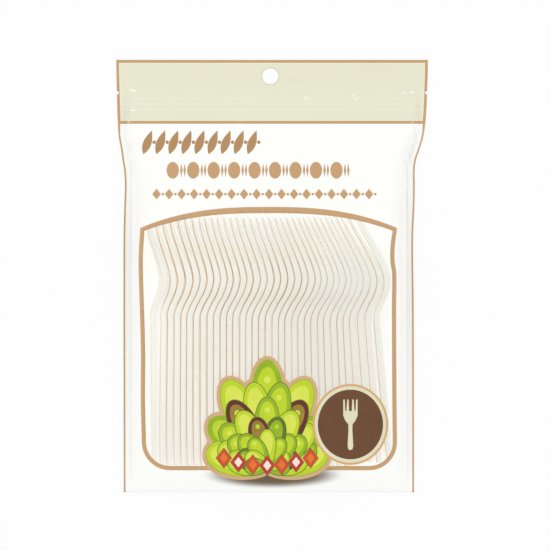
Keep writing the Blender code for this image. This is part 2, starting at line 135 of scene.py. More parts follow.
def slack(x, y, inset):
    """How far the film stands off its even form: folds above the tips, ripples at the sides, zip ribs."""
    headspace = smooth((y - TIP_Y) / (12 * MM)) * smooth((ZIP_FOOT_Y - y) / (12 * MM))
    folds = noise.noise(Vector((x * 42, y * 11, 1.7))) + 0.5 * noise.noise(Vector((x * 90, y * 20, 5.1)))
    side = smooth((inset - SEAL_WIDTH) / (4 * MM)) * smooth((26 * MM - inset) / (12 * MM))
    ripples = max(0.0, noise.noise(Vector((x * 12, y * 62, 3.3))))
    header = smooth((y - ZIP_FOOT_Y + 6 * MM) / (6 * MM)) * smooth(inset / (3 * MM))
    creases = noise.noise(Vector((x * 55, y * 38, 9.2)))
    ribs = sum(2.7 ** -((y - rib) / (0.55 * MM)) ** 2 for rib in ZIP_RIBS)
    ribs *= smooth((inset - 2 * MM) / (4 * MM))
    return (0.55 * MM * headspace * folds + 0.7 * MM * side * ripples + 0.16 * MM * header * creases
            + 0.3 * MM * ribs)


def film_heights(x, y):
    """Outside of the back film and of the front film."""
    left, right = left_edge(y), right_edge(y)
    t = smooth((y - TIP_Y) / (ZIP_FOOT_Y - TIP_Y))
    if x < (left + right) / 2:
        inset, full = x - left, LEFT_SHOULDER + (HEADER_SHOULDER - LEFT_SHOULDER) * t
    else:
        inset, full = right - x, RIGHT_SHOULDER + (HEADER_SHOULDER - RIGHT_SHOULDER) * t
    inset = max(0.0, inset)
    front = 1 - (1 - clamp((inset - SEAL_WIDTH) / (full - SEAL_WIDTH))) ** 1.8
    back = (1 - clamp(inset / full)) ** 2
    rise = crown(y) - SEALED
    low = SEAM_RISE * rise * back
    high = low + SEALED + (rise - low) * front
    return low, max(low + SEALED, high + slack(x, y, inset))


def front_at(x, y):
    return film_heights(x, y)[1]


# Colours of the film and its inks, as the photo shows them, in scene linear values.
def ink(red, green, blue):
    """An opaque colour picked as 0 to 255, as the renderer wants it."""
    linear = (((c / 255 + 0.055) / 1.055) ** 2.4 if c > 10 else c / 255 / 12.92 for c in (red, green, blue))
    return (*linear, 1.0)


def set_inputs(node, values):
    """Gives inputs of a node, by name or number, a value or a link from another node's output."""
    for name, value in values.items():
        if isinstance(value, bpy.types.NodeSocket):
            node.id_data.links.new(value, node.inputs[name])
        else:
            node.inputs[name].default_value = value


def new_node(tree, kind, values=None, **settings):
    """Adds a node with these settings and inputs, and gives its outputs."""
    node = tree.nodes.new(kind)
    for name, setting in settings.items():
        setattr(node, name, setting)
    set_inputs(node, values or {})
    return node.outputs


def maths(tree, operation, *values):
    """The result of one sum on values or outputs."""
    return new_node(tree, "ShaderNodeMath", dict(enumerate(values)), operation=operation)["Value"]


def ramp(tree, value, start, end, low, high):
    """A value that runs from low to high while another runs from start to end."""
    given = {"Value": value, "From Min": start, "From Max": end, "To Min": low, "To Max": high}
    return new_node(tree, "ShaderNodeMapRange", given)["Result"]


def mixed(tree, factor, first, second, blend="MIX"):
    given = {"Factor": factor, "A": first, "B": second}
    return new_node(tree, "ShaderNodeMix", given, data_type="RGBA", blend_type=blend)["Result"]


def clouds(tree, scale):
    """Soft noise over the piece, from its own coordinates."""
    place = new_node(tree, "ShaderNodeTexCoord")["Object"]
    return new_node(tree, "ShaderNodeTexNoise", {"Vector": place, "Scale": scale})["Fac"]


def bumped(tree, height, strength, distance):
    given = {"Height": height, "Strength": strength, "Distance": distance}
    return new_node(tree, "ShaderNodeBump", given)["Normal"]


def thin_alpha(tree, through_share):
    """Whole for the camera, while this share of the light passes for shadow and diffuse rays."""
    path = new_node(tree, "ShaderNodeLightPath")
    inner_light = maths(tree, "MAXIMUM", path["Is Shadow Ray"], path["Is Diffuse Ray"])
    return maths(tree, "MULTIPLY_ADD", inner_light, -through_share, 1.0)


def new_material(name):
    """A material, its node tree and its shader."""
    made = bpy.data.materials.new(name)
    made.use_nodes = True
    return made, made.node_tree, made.node_tree.nodes["Principled BSDF"]


def film_group():
    """Blown film's slight haze and crinkle: a roughness and a height, from Object coordinates."""
    group = bpy.data.node_groups.new("Film crinkle", "ShaderNodeTree")
    sides = group.interface
    for name, value in (("Crinkle scale", 60.0), ("Roughness low", 0.16), ("Roughness high", 0.30)):
        sides.new_socket(name, in_out="INPUT", socket_type="NodeSocketFloat").default_value = value
    for name in ("Roughness", "Height"):
        sides.new_socket(name, in_out="OUTPUT", socket_type="NodeSocketFloat")
    given = new_node(group, "NodeGroupInput")
    place = new_node(group, "ShaderNodeTexCoord")["Object"]
    coarse = new_node(group, "ShaderNodeTexNoise",
                      {"Vector": place, "Scale": given["Crinkle scale"], "Detail": 3.0})["Fac"]
    fine = new_node(group, "ShaderNodeTexNoise", {"Vector": place, "Scale": 900.0})["Fac"]
    rough = ramp(group, coarse, 0.0, 1.0, given["Roughness low"], given["Roughness high"])
    height = maths(group, "MULTIPLY_ADD", fine, 0.12, coarse)
    new_node(group, "NodeGroupOutput", {"Roughness": rough, "Height": height})
    return group


film_crinkle = film_group()
FILM_THROUGH = 0.8  # the share of the light that comes through each face of the thin film
FILM_PAINTED_GLOW, INSIDE_PAINTED_GLOW = 0.02, 0.55  # painted light: every printed film glows faintly in its own colour, and the bag's inside glows white, with no lamp behind either


def film_material(name, colour, other, cloud_scale=22.0):
    """Printed film: two near shades of its colour in soft clouds, over the film's crinkle, and a faint
    painted glow in its colour.
    """
    made, tree, shader = new_material(name)
    crinkle = new_node(tree, "ShaderNodeGroup", node_tree=film_crinkle)
    set_inputs(shader, {
        "Base Color": mixed(tree, clouds(tree, cloud_scale), colour, other),
        "Roughness": crinkle["Roughness"],
        "Alpha": thin_alpha(tree, FILM_THROUGH),
        "Normal": bumped(tree, crinkle["Height"], 0.25, 0.4 * MM),
        "Specular IOR Level": 0.35,
        # Painted light: a faint glow in the film's own colour, though no lamp is behind it.
        "Emission Color": colour,
        "Emission Strength": FILM_PAINTED_GLOW,
    })
    return made


white_film = film_material("white_film", ink(254, 254, 251), ink(252, 252, 249))
header_film = film_material("header_film", ink(233, 231, 208), ink(228, 227, 201))
zip_film = film_material("zip_film", ink(235, 234, 211), ink(230, 229, 205))
# Also drawn as the painted highlight lines where the zip's ribs catch the light.
pale_film = film_material("pale_film", ink(240, 242, 224), ink(237, 238, 218))
tan_ink = film_material("tan_ink", ink(203, 163, 117), ink(196, 156, 111))
# Painted glints: near-white film for the small marks where the header's crumples catch the light.
painted_glint_film = film_material("painted_glint_film", ink(254, 254, 250), ink(251, 251, 246))
# Painted light: the bag's inside is grey with a strong white glow, so the shadowed spaces beside and between
# the forks read white.
film_inside_painted_glow = film_material("film_inside_painted_glow", ink(200, 200, 198), ink(196, 196, 194))
set_inputs(film_inside_painted_glow.node_tree.nodes["Principled BSDF"],
           {"Emission Color": ink(254, 254, 250), "Emission Strength": INSIDE_PAINTED_GLOW})

# Outlines on the bag, as a printer's drawing has them, seen from above.
NOTCH_Y = TOP_Y - 22 * MM
NOTCH_DEPTH, NOTCH_HALF = 1.7 * MM, 1.35 * MM
HOLE_X, HOLE_Y, HOLE_RADIUS = -1 * MM, TOP_Y - 11 * MM, 5.25 * MM
HEADER_LINE, SIDE_LINE, HEADER_SIDE_LINE = 2.0 * MM, 1.15 * MM, 1.9 * MM
EDGE = 0.1 * MM  # clear of ink at the cut edge


def arc(centre_x, centre_y, radius, start, end, steps):
    angles = [radians(start + (end - start) * k / steps) for k in range(steps + 1)]
    return [(centre_x + radius * cos(a), centre_y + radius * sin(a)) for a in angles]


def along(start, end, step):
    """Evenly spaced values from start to end, both counted."""
    count = max(1, round(abs(end - start) / step))
    return [start + (end - start) * k / count for k in range(count + 1)]


def side_points(edge, inward):
    """Up one side of the bag, with its tear notch."""
    lower = [(edge(y), y) for y in along(FOOT_Y, NOTCH_Y - NOTCH_HALF, 2 * MM)]
    notch = [(edge(NOTCH_Y) + inward * NOTCH_DEPTH * sin(pi * share), NOTCH_Y + NOTCH_HALF * (2 * share - 1))
             for share in (0.25, 0.5, 0.75)]
    upper = [(edge(y), y) for y in along(NOTCH_Y + NOTCH_HALF, TOP_Y, 2 * MM)]
    return lower + notch + upper


def bag_outline():
    right = side_points(right_edge, -1)
    left = side_points(left_edge, 1)
    top = [(x, TOP_Y) for x in along(right[-1][0], left[-1][0], 2 * MM)[1:-1]]
    foot = [(x, FOOT_Y) for x in along(left[0][0], right[0][0], 2 * MM)[1:-1]]
    return right + top + left[::-1] + foot


def side_line_width(y):
    return SIDE_LINE + (HEADER_SIDE_LINE - SIDE_LINE) * smooth((y - HEADER_Y + 8 * MM) / (12 * MM))


def side_line_outline(edge, inward):
    """The tan line down one side, foot to top."""
    ys = along(FOOT_Y, TOP_Y, 2 * MM)
    outer = [(edge(y) + inward * EDGE, y) for y in ys]
    inner = [(edge(y) + inward * (EDGE + side_line_width(y)), y) for y in ys]
    return outer + inner[::-1]


def header_stripe(low, high, inset=EDGE):
    """A band across the bag between two heights."""
    middle = (low + high) / 2
    bottom = [(x, low) for x in along(left_edge(low) + inset, right_edge(low) - inset, 2 * MM)]
    top = [(x, high) for x in along(right_edge(high) - inset, left_edge(high) + inset, 2 * MM)]
    return bottom + [(right_edge(middle) - inset, middle)] + top + [(left_edge(middle) + inset, middle)]


def leaf(x, y, angle, length, width, steps=12, fullness=0.85):
    """A pointed oval that starts at a point and runs off at an angle in degrees."""
    turn, side = radians(angle), []
    for k in range(1, steps):
        t = k / steps
        side.append((length * t, width / 2 * sin(pi * t ** fullness)))
    points = [(0.0, 0.0)] + side + [(length, 0.0)] + [(a, -b) for a, b in side[::-1]]
    return [(x + a * cos(turn) - b * sin(turn), y + a * sin(turn) + b * cos(turn)) for a, b in points]


WINDOW_LEFT, WINDOW_RIGHT = BODY_LEFT + 12.7 * MM, BODY_RIGHT - 14.2 * MM
WINDOW_FOOT, WINDOW_TOP = FOOT_Y + 17.6 * MM, TIP_Y + 1.2 * MM
WINDOW_ARCH, WINDOW_CORNER = 11.8 * MM, 16 * MM
BAND_SIDE, BAND_ARCH = 2.8 * MM, 4.1 * MM
LEFT_WAVE = ((-125, 2.4), (-109, 2.2), (-83, 1.6), (-49.5, 1.7), (-16, 0.8), (10, 0.15), (24, 0.8), (31, 1.3))
RIGHT_WAVE = ((-125, 0.4), (-109, 0.3), (-83, 0.0), (-49.5, -0.2), (-20, -0.3), (-4, -0.1), (3, -0.3),
              (9, -1.3), (16, -1.5), (24, -0.8), (31, 0.3))


def window_outline(grow, arch_grow):
    """The clear window, or its printed frame's outer edge, grown outwards by these widths."""
    left, right = WINDOW_LEFT - grow, WINDOW_RIGHT + grow
    foot, top = WINDOW_FOOT - grow, WINDOW_TOP + arch_grow
    corner = WINDOW_CORNER + grow
    rise = WINDOW_ARCH + 0.8 * grow
    points = arc(right - corner, foot + corner, corner, 270, 360, 10)
    points += [(right, y) for y in along(foot + corner, top - rise, 3 * MM)[1:-1]]
    for x in along(right, left, 2.5 * MM):
        points.append((x, top - rise * abs(2 * (x - left) / (right - left) - 1) ** 2.6))
    points += [(left, y) for y in along(top - rise, foot + corner, 3 * MM)[1:-1]]
    points += arc(left + corner, foot + corner, corner, 180, 270, 10)
    points += [(x, foot) for x in along(left + corner, right - corner, 3 * MM)[1:-1]]
    waved = []
    for x, y in points:
        share = clamp((x - left) / (right - left))
        left_wave, right_wave = through(LEFT_WAVE, y / MM) * MM, through(RIGHT_WAVE, y / MM) * MM
        waved.append((x + (1 - share) * left_wave + share * right_wave, y))
    return waved


def within(loop, xs, ys):
    """Which of these points lie inside a closed outline."""
    inside = np.zeros(len(xs), bool)
    for (ax, ay), (bx, by) in zip(loop, loop[1:] + loop[:1]):
        if ay != by:
            crosses = ((ay > ys) != (by > ys)) & (xs < (bx - ax) * (ys - ay) / (by - ay) + ax)
            inside ^= crosses
    return inside


def filled(loops, step, rows=()):
    """Points and triangles between these outlines and a grid, each outline's line kept."""
    points, edges = [], []
    for loop in loops:
        first = len(points)
        points += loop
        edges += [(first + k, first + (k + 1) % len(loop)) for k in range(len(loop))]
    near = kdtree.KDTree(len(points))
    for k, (x, y) in enumerate(points):
        near.insert((x, y, 0.0), k)
    near.balance()
    xs, ys = [p[0] for p in points], [p[1] for p in points]
    levels = along(min(ys), max(ys), step)[1:-1] + list(rows)
    grid = [(x, y) for y in levels for x in along(min(xs), max(xs), step)[1:-1]]
    points += [(x, y) for x, y in grid if near.find((x, y, 0.0))[2] > 0.45 * step]
    made = geometry.delaunay_2d_cdt([Vector(p) for p in points], edges, [], 0, 1e-7)
    return [(v.x, v.y) for v in made[0]], [tuple(f) for f in made[2]]


def mesh_piece(name, points, faces, materials, kinds=None):
    """A piece at the origin, its faces shaded smooth."""
    mesh = bpy.data.meshes.new(name)
    mesh.from_pydata(points, [], faces)
    for material in materials:
        mesh.materials.append(material)
    if kinds is not None:
        mesh.polygons.foreach_set("material_index", np.asarray(kinds, np.int32))
    mesh.polygons.foreach_set("use_smooth", np.ones(len(faces), bool))
    mesh.update()
    piece = bpy.data.objects.new(name, mesh)
    bpy.context.scene.collection.objects.link(piece)
    return piece


def centres(points, faces):
    spots = np.array(points)
    middle = spots[np.array(faces)].mean(axis=1)
    return middle[:, 0], middle[:, 1]


# Painted glints: small white marks that stand in for light caught by the header's crumples: place, direction
# in degrees, length and width, in mm.
PAINTED_GLINTS = ((-94.5, 124.4, -21, 5.3, 1.2), (-94.6, 110.2, 0, 4.8, 0.7), (22.6, 117.0, 90, 2.8, 1.3),
                (53.4, 121.0, -48, 2.6, 0.7), (55.6, 118.9, -80, 2.7, 0.8), (86.6, 122.2, -8, 3.2, 0.8),
                (92.2, 122.0, 4, 3.1, 1.3), (-95.9, 102.0, 62, 1.6, 0.5), (-94.4, 101.7, 110, 1.4, 0.4),
                (93.4, 101.4, 68, 1.9, 0.4), (-26.0, 101.0, 2, 8.0, 0.5))
# Painted highlights: two thin pale lines across the header where the zip's ribs catch the light, low and high
# in mm.
PAINTED_RIB_HIGHLIGHTS = ((117.4, 117.75), (110.0, 110.3))
ON_WHITE, ON_HEADER, ON_LINES, ON_PALE, ON_ZIP, ON_PAINTED_GLINTS = range(6)  # which film a face has


def add_bag():
    outline = bag_outline()
    hole = arc(HOLE_X, HOLE_Y, HOLE_RADIUS, 0, 350, 35)
    left_line = side_line_outline(left_edge, 1)
    right_line = side_line_outline(right_edge, -1)
    top_line = header_stripe(TOP_Y - EDGE - HEADER_LINE, TOP_Y - EDGE)
    low_line = header_stripe(HEADER_Y - 0.5 * MM, HEADER_Y + 1.5 * MM)
    frame_outer = window_outline(BAND_SIDE, BAND_ARCH)
    window = window_outline(0.0, 0.0)
    lines = (left_line, right_line, top_line, low_line)
    head_foot, head_top = HEADER_Y + 1.5 * MM, TOP_Y - EDGE - HEADER_LINE
    plain = header_stripe(head_foot + 0.6 * MM, head_top - 0.5 * MM, HEADER_SIDE_LINE + 0.6 * MM)
    zip_zone = header_stripe(ZIP_FOOT_Y, TOP_SEAL_Y, HEADER_SIDE_LINE + 0.6 * MM)
    # Painted glints: small white marks that stand in for light caught by the header's crumples.
    marks = [leaf(x * MM, y * MM, angle, length * MM, width * MM, 6)
             for x, y, angle, length, width in PAINTED_GLINTS]
    # Painted highlights: thin pale lines where the zip's ribs catch the light.
    creases = [header_stripe(low * MM, high * MM) for low, high in PAINTED_RIB_HIGHLIGHTS]
    rib_rows = [rib + share * 0.5 * MM for rib in ZIP_RIBS for share in (-2, -1, 0, 1, 2)]
    flat, faces = filled([outline, hole, *lines, frame_outer, window, plain, zip_zone, *marks, *creases],
                         2 * MM, rib_rows)
    xs, ys = centres(flat, faces)
    kept = within(outline, xs, ys) & ~within(hole, xs, ys) & ~within(window, xs, ys)
    kinds = np.full(len(faces), ON_WHITE)
    zones = [(header_stripe(head_foot, head_top), ON_PALE), (plain, ON_HEADER), (zip_zone, ON_ZIP)]
    zones += [(rib_highlight, ON_PALE) for rib_highlight in creases]
    zones += [(line, ON_LINES) for line in (*lines, frame_outer)]
    zones += [(mark, ON_PAINTED_GLINTS) for mark in marks]
    for zone, kind in zones:
        kinds[within(zone, xs, ys)] = kind
    front_faces = [f for f, keep in zip(faces, kept) if keep]
    kinds = list(kinds[kept])
    points = [(x, y, front_at(x, y)) for x, y in flat]

    back_flat, back_faces = filled([outline, hole], 4 * MM)
    xs, ys = centres(back_flat, back_faces)
    kept = within(outline, xs, ys) & ~within(hole, xs, ys)
    first = len(points)
    points += [(x, y, film_heights(x, y)[0]) for x, y in back_flat]
    back = [tuple(first + v for v in f[::-1]) for f, keep in zip(back_faces, kept) if keep]

    def rim(loop_start, loop_length):
        ring = [loop_start + k for k in range(loop_length)]
        return [(a, b, first + b, first + a) for a, b in zip(ring, ring[1:] + ring[:1])]

    walls = rim(0, len(outline)) + rim(len(outline), len(hole))
    faces = front_faces + back + walls
    kinds += [ON_WHITE] * (len(back) + len(walls))
    films = (white_film, header_film, tan_ink, pale_film, zip_film, painted_glint_film, film_inside_painted_glow)
    bag = mesh_piece("printed_bag", points, faces, films, kinds)
    bm = bmesh.new()
    bm.from_mesh(bag.data)
    bmesh.ops.remove_doubles(bm, verts=bm.verts, dist=1e-6)
    loose = [v for v in bm.verts if not v.link_faces]
    bmesh.ops.delete(bm, geom=loose, context="VERTS")
    bmesh.ops.recalc_face_normals(bm, faces=bm.faces)
    bm.to_mesh(bag.data)
    bm.free()
    wall = bag.modifiers.new("film", "SOLIDIFY")
    wall.thickness = 0.12 * MM
    wall.offset = -1.0
    wall.material_offset = len(films) - 1  # the inner face has one colour, the last
    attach(bag, "root")
    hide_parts("pouch")


add_bag()


# The window
# The same film without print, so the forks show. It is clear with a faint haze and a wet shine.
def clear_material():
    """Clear film: see-through face on, a faint cloudy haze, and a white veil where it is seen at a slant, a
    painted reflection.
    """
    made, tree, shader = new_material("clear_film")
    crinkle = new_node(tree, "ShaderNodeGroup", {"Roughness low": 0.05, "Roughness high": 0.16},
                       node_tree=film_crinkle)
    # Painted reflection: the film turns whiter towards a slant, standing in for the shine a slanting film
    # has; the cloudy haze is the film's own.
    graze = new_node(tree, "ShaderNodeLayerWeight", {"Blend": 0.25})["Fresnel"]
    haze = ramp(tree, clouds(tree, 16.0), 0.35, 0.7, 0.03, 0.15)
    veil = new_node(tree, "ShaderNodeMath", {0: graze, 1: 0.5, 2: haze},
                    operation="MULTIPLY_ADD", use_clamp=True)
    set_inputs(shader, {
        "Base Color": ink(253, 253, 250),
        "Roughness": crinkle["Roughness"],
        "Alpha": veil["Value"],
        "Normal": bumped(tree, crinkle["Height"], 0.3, 0.5 * MM),
    })
    return made


def add_window():
    outline = window_outline(1.2 * MM, 1.2 * MM)
    flat, faces = filled([outline], 3 * MM)
    xs, ys = centres(flat, faces)
    kept = within(outline, xs, ys)
    under = 0.16 * MM  # the clear film runs on under the printed frame
    points = [(x, y, front_at(x, y) - under) for x, y in flat]
    inner = [f for f, keep in zip(faces, kept) if keep]
    pane = mesh_piece("clear_window", points, inner, (clear_material(),))
    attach(pane, "root")
    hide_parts("window_film")


add_window()


# The zip
# Two extruded tracks welded to the inside of the films below the top seal, a bead that snaps between
# two walls. Their solids have the right form, so they only get their plastic.
def moulded_material(name, colour, other, roughness):
    made, tree, shader = new_material(name)
    cloudy = clouds(tree, 130.0)
    set_inputs(shader, {
        "Base Color": mixed(tree, cloudy, colour, other),
        "Roughness": roughness,
        "Normal": bumped(tree, cloudy, 0.15, 0.2 * MM),
    })
    return made


zip_plastic = moulded_material("zip_plastic", ink(236, 234, 214), ink(228, 226, 204), 0.35)
for track in ("zip_front_track", "zip_back_track"):
    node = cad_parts[track]
    node.data.materials.clear()
    node.data.materials.append(zip_plastic)


# The forks
# Injection moulded white polystyrene, each with a hollow-backed handle, a dished bowl and four tines.
# They stand on edge in one nested row; towards the right they fan out, and their thin rims show.
FORK_COUNT = 34
HANDLE, HEAD, ROOT = 94.2 * MM, 70.8 * MM, 31.9 * MM
HEAD_WIDE, TIP_WIDE, HANDLE_WIDE = 25 * MM, 20 * MM, 12.3 * MM
TINE_TIP = 2.6 * MM
FORK_OUT = ((-0.0942, 0.0), (-0.008, 0.0), (0.0, 0.00005), (0.0047, 0.0005), (0.0113, 0.0034),
            (0.018, 0.0073), (0.0246, 0.0098), (0.0299, 0.0105), (0.0379, 0.0091), (0.0446, 0.0068),
            (0.0512, 0.0044),
            (0.0579, 0.0020), (0.0645, 0.0003), (0.0708, -0.0010))
FORK_WIDE = ((-0.0942, 0.0088), (-0.0925, 0.0108), (-0.090, 0.0123), (-0.080, 0.0121), (-0.028, 0.0096),
             (-0.004, 0.0076), (0.002, 0.0075), (0.0047, 0.0080), (0.0113, 0.0118), (0.018, 0.0188),
             (0.0246, 0.0236), (0.0319, 0.0250))
THICK = 4.3 * MM
FORK_DEEP = ((-0.0942, 0.0029), (-0.090, 0.0032), (-0.066, THICK), (0.0, THICK), (0.038, THICK),
             (0.046, 0.0039), (0.060, 0.0029), (0.0708, 0.0021))
FORK_DISH = ((0.004, 0.0), (0.014, 0.0013), (0.022, 0.0016), (0.029, 0.0008), (0.0319, 0.0))
FORK_HOLLOW = ((-0.0942, 0.0), (-0.089, 0.0021), (-0.02, 0.0022), (-0.006, 0.0), (0.0, 0.0))
RIM = (0.0, 0.15 * MM, 0.4 * MM)  # the rounded long edge, by depth below it
RIM_THICK = (0.83, 0.955, 0.995)
ACROSS = (0.632, 0.456, 0.272, 0.088)
TINE_SPANS = ((0, 3), (4, 6), (7, 9), (10, 13))
TINE_PLACES = (0.0345, 0.040, 0.047, 0.054, 0.061, 0.066, 0.0689, 0.0701, 0.0705)


def fork_ring(place):
    """Points round a fork at one place along it: back face up, then front face down."""
    out, half = through(FORK_OUT, place), through(FORK_WIDE, place) / 2
    deep, dish = through(FORK_DEEP, place), through(FORK_DISH, place)
    hollow = through(FORK_HOLLOW, place)
    upper = [(half - drop, thick) for drop, thick in zip(RIM, RIM_THICK)] + [(half * a, 1.0) for a in ACROSS]
    heights = [(-z, thick) for z, thick in upper] + upper[::-1]
    ring = []
    for side, scoop_depth, run in ((-1, dish, heights), (1, hollow, heights[::-1])):
        for z, thick in run:
            scoop = scoop_depth * (1 - smooth((abs(z) / half - 0.45) / 0.4))
            ring.append((out + side * (deep / 2 * thick - scoop), place, z))
    return ring


def bluntness(place):
    """How far a tine has kept its width where its end is rounded, as a share."""
    return max(0.35, sqrt(max(0.0, 1 - max(0.0, (place - 0.0672) / 0.0034) ** 2)))


def add_tine(bm, section, number):
    """One tine, from its root section to its blunt tip."""
    root = [(v.co.z, -1 if k < len(section) // 2 else 1) for k, v in enumerate(section)]
    low, high = min(z for z, _ in root), max(z for z, _ in root)
    middle, wide = (low + high) / 2, high - low
    tip_pitch = (TIP_WIDE - TINE_TIP) / 3
    tip_middle = (number - 1.5) * tip_pitch
    for place in TINE_PLACES:
        t = (place - ROOT) / (HEAD - ROOT)
        blunt = bluntness(place)
        centre = middle + (tip_middle - middle) * t
        width = (wide + (TINE_TIP - wide) * t ** 0.8) * blunt
        half_deep = through(FORK_DEEP, place) / 2 * blunt
        out = through(FORK_OUT, place)
        following = []
        for z, side in root:
            share = (z - middle) / (wide / 2)
            thick = half_deep * (1 - 0.16 * share ** 6)
            following.append(bm.verts.new((out + side * thick, place, centre + share * width / 2)))
        for k in range(len(section)):
            n = (k + 1) % len(section)
            bm.faces.new((section[k], section[n], following[n], following[k]))
        section = following
    bm.faces.new(section)


def fork_cage():
    bm = bmesh.new()
    places = (-0.0942, -0.0935, -0.0925, -0.0905, -0.087, -0.078, -0.064, -0.048, -0.034, -0.022, -0.012,
              -0.004, 0.001, 0.005, 0.0085, 0.012, 0.0155, 0.019, 0.0225, 0.026, 0.029, ROOT)
    rings = [[bm.verts.new(p) for p in fork_ring(place)] for place in places]
    count = len(rings[0])
    bm.faces.new(rings[0][::-1])
    for lower, upper in zip(rings, rings[1:]):
        for k in range(count):
            n = (k + 1) % count
            bm.faces.new((lower[k], lower[n], upper[n], upper[k]))
    back, front = rings[-1][:count // 2], rings[-1][count // 2:][::-1]
    for low, high in ((3, 4), (6, 7), (9, 10)):
        bm.faces.new((back[low], front[low], front[high], back[high]))
    for number, (low, high) in enumerate(TINE_SPANS):
        add_tine(bm, back[low:high + 1] + front[low:high + 1][::-1], number)
    bmesh.ops.recalc_face_normals(bm, faces=bm.faces)
    mesh = bpy.data.meshes.new("fork_cage")
    bm.to_mesh(mesh)
    bm.free()
    mesh.polygons.foreach_set("use_smooth", np.ones(len(mesh.polygons), bool))
    return mesh


def store_places(mesh):
    """Stores how far each point lies off the fork's middle sheet and below its top."""
    marks = {name: [] for name in ("across", "sheet side", "below top")}
    for vert in mesh.vertices:
        stand = vert.co.x - through(FORK_OUT, vert.co.y)
        t = max(0.0, (vert.co.y - ROOT) / (HEAD - ROOT))
        top = through(FORK_WIDE, vert.co.y) / 2 * (1 - t) + TIP_WIDE / 2 * t
        top -= TINE_TIP / 2 * (1 - bluntness(vert.co.y))
        marks["across"].append(stand)
        marks["sheet side"].append(stand / (through(FORK_DEEP, vert.co.y) / 2))
        marks["below top"].append(top - vert.co.z)
    for name, values in marks.items():
        mesh.attributes.new(name, "FLOAT", "POINT").data.foreach_set("value", values)


# The painted shade on a fork's two long edges, a warm tan that stands in for the shade between close
# neighbours, as shares of the way out
# to each: where it starts, where it is full and how strong, and how much wider it is on the thin tines.
PAINTED_SHADE_ZONES = (("left warmth", -0.68, -0.8, 1.0), ("right warmth", 0.88, 0.97, 0.7))
WIDER_AT_TIPS = -0.24
FORK_THROUGH = 0.65  # thin white polystyrene lets light through
FORK_PAINTED_GLOW = (0.12, 0.12, 0.12, 1.0)  # painted light: the share of its colour the fork glows with, though no lamp is behind it
GAP_PAINTED_LIGHT = (0.8, 0.8, 0.79, 1.0)  # painted light: a white glow, for the camera only, deep between two forks that stand apart
GAP_DEPTH = (0.5 * MM, 1.2 * MM)  # below a fork's top, where that painted light starts and is full


def fork_plastic():
    """White polystyrene: pale at its thin rims, with painted shade in warm tan where neighbours lie close, a
    faint painted glow in its colour, and a painted white light deep between forks that stand apart.
    """
    made, tree, shader = new_material("fork_plastic")
    noted = {name: new_node(tree, "ShaderNodeAttribute", attribute_name=name)["Fac"]
             for name in ("sheet side", "below top", "left warmth", "right warmth", "tips", "shade", "apart")}
    reach = maths(tree, "MULTIPLY_ADD", noted["tips"], WIDER_AT_TIPS, noted["sheet side"])
    warm = [maths(tree, "MULTIPLY", ramp(tree, reach, start, end, 0.0, full), noted[name])
            for name, start, end, full in PAINTED_SHADE_ZONES]
    body = mixed(tree, noted["shade"], ink(247, 246, 238), ink(242, 241, 232))
    # Painted shade: a warm tan over the body along an edge where a neighbour lies close.
    base = mixed(tree, maths(tree, "ADD", *warm), body, ink(206, 158, 74))
    # Painted light: the fork glows faintly in its own colour, though no lamp is behind it.
    dim = mixed(tree, 1.0, base, FORK_PAINTED_GLOW, "MULTIPLY")
    # Painted light: deep between two forks that stand apart, a white glow that only the camera sees.
    between = maths(tree, "MULTIPLY", ramp(tree, noted["below top"], *GAP_DEPTH, 0.0, 1.0), noted["apart"])
    path = new_node(tree, "ShaderNodeLightPath")
    seen = maths(tree, "MULTIPLY", between, path["Is Camera Ray"])
    flow = clouds(tree, 160.0)
    set_inputs(shader, {
        "Base Color": base,
        "Roughness": ramp(tree, flow, 0.0, 1.0, 0.22, 0.38),
        "Alpha": thin_alpha(tree, FORK_THROUGH),
        "Normal": bumped(tree, flow, 0.12, 0.2 * MM),
        "Emission Color": mixed(tree, seen, dim, GAP_PAINTED_LIGHT),
        "Emission Strength": 0.8,
    })
    return made


def new_geometry_tree(name, inputs, output):
    """A Geometry Nodes tree with these inputs, by name and kind, and its input node's outputs."""
    tree = bpy.data.node_groups.new(name, "GeometryNodeTree")
    for label, kind in inputs:
        tree.interface.new_socket(label, in_out="INPUT", socket_type=f"NodeSocket{kind}")
    tree.interface.new_socket(output, in_out="OUTPUT", socket_type="NodeSocketGeometry")
    return tree, new_node(tree, "NodeGroupInput")


def end_tree(tree, geometry, material, output):
    """Ends a tree: its instances are made real and get their material."""
    real = new_node(tree, "GeometryNodeRealizeInstances", {"Geometry": geometry})["Geometry"]
    coloured = new_node(tree, "GeometryNodeSetMaterial", {"Geometry": real, "Material": material})["Geometry"]
    new_node(tree, "NodeGroupOutput", {output: coloured})


FORK_SETTINGS = ("Handle lean", "Head lean", "Head flex", "Handle thickness", "Head thickness", "Roll",
                 "Tilt", "Left at handle", "Left at bowl", "Left at tips", "Right at handle",
                 "Right at bowl", "Right at tips", "Wide at tips", "Shade", "Apart at handle",
                 "Handle stretch")
TINES = (0.034, 0.050)  # up the fork, where what the tines have comes in


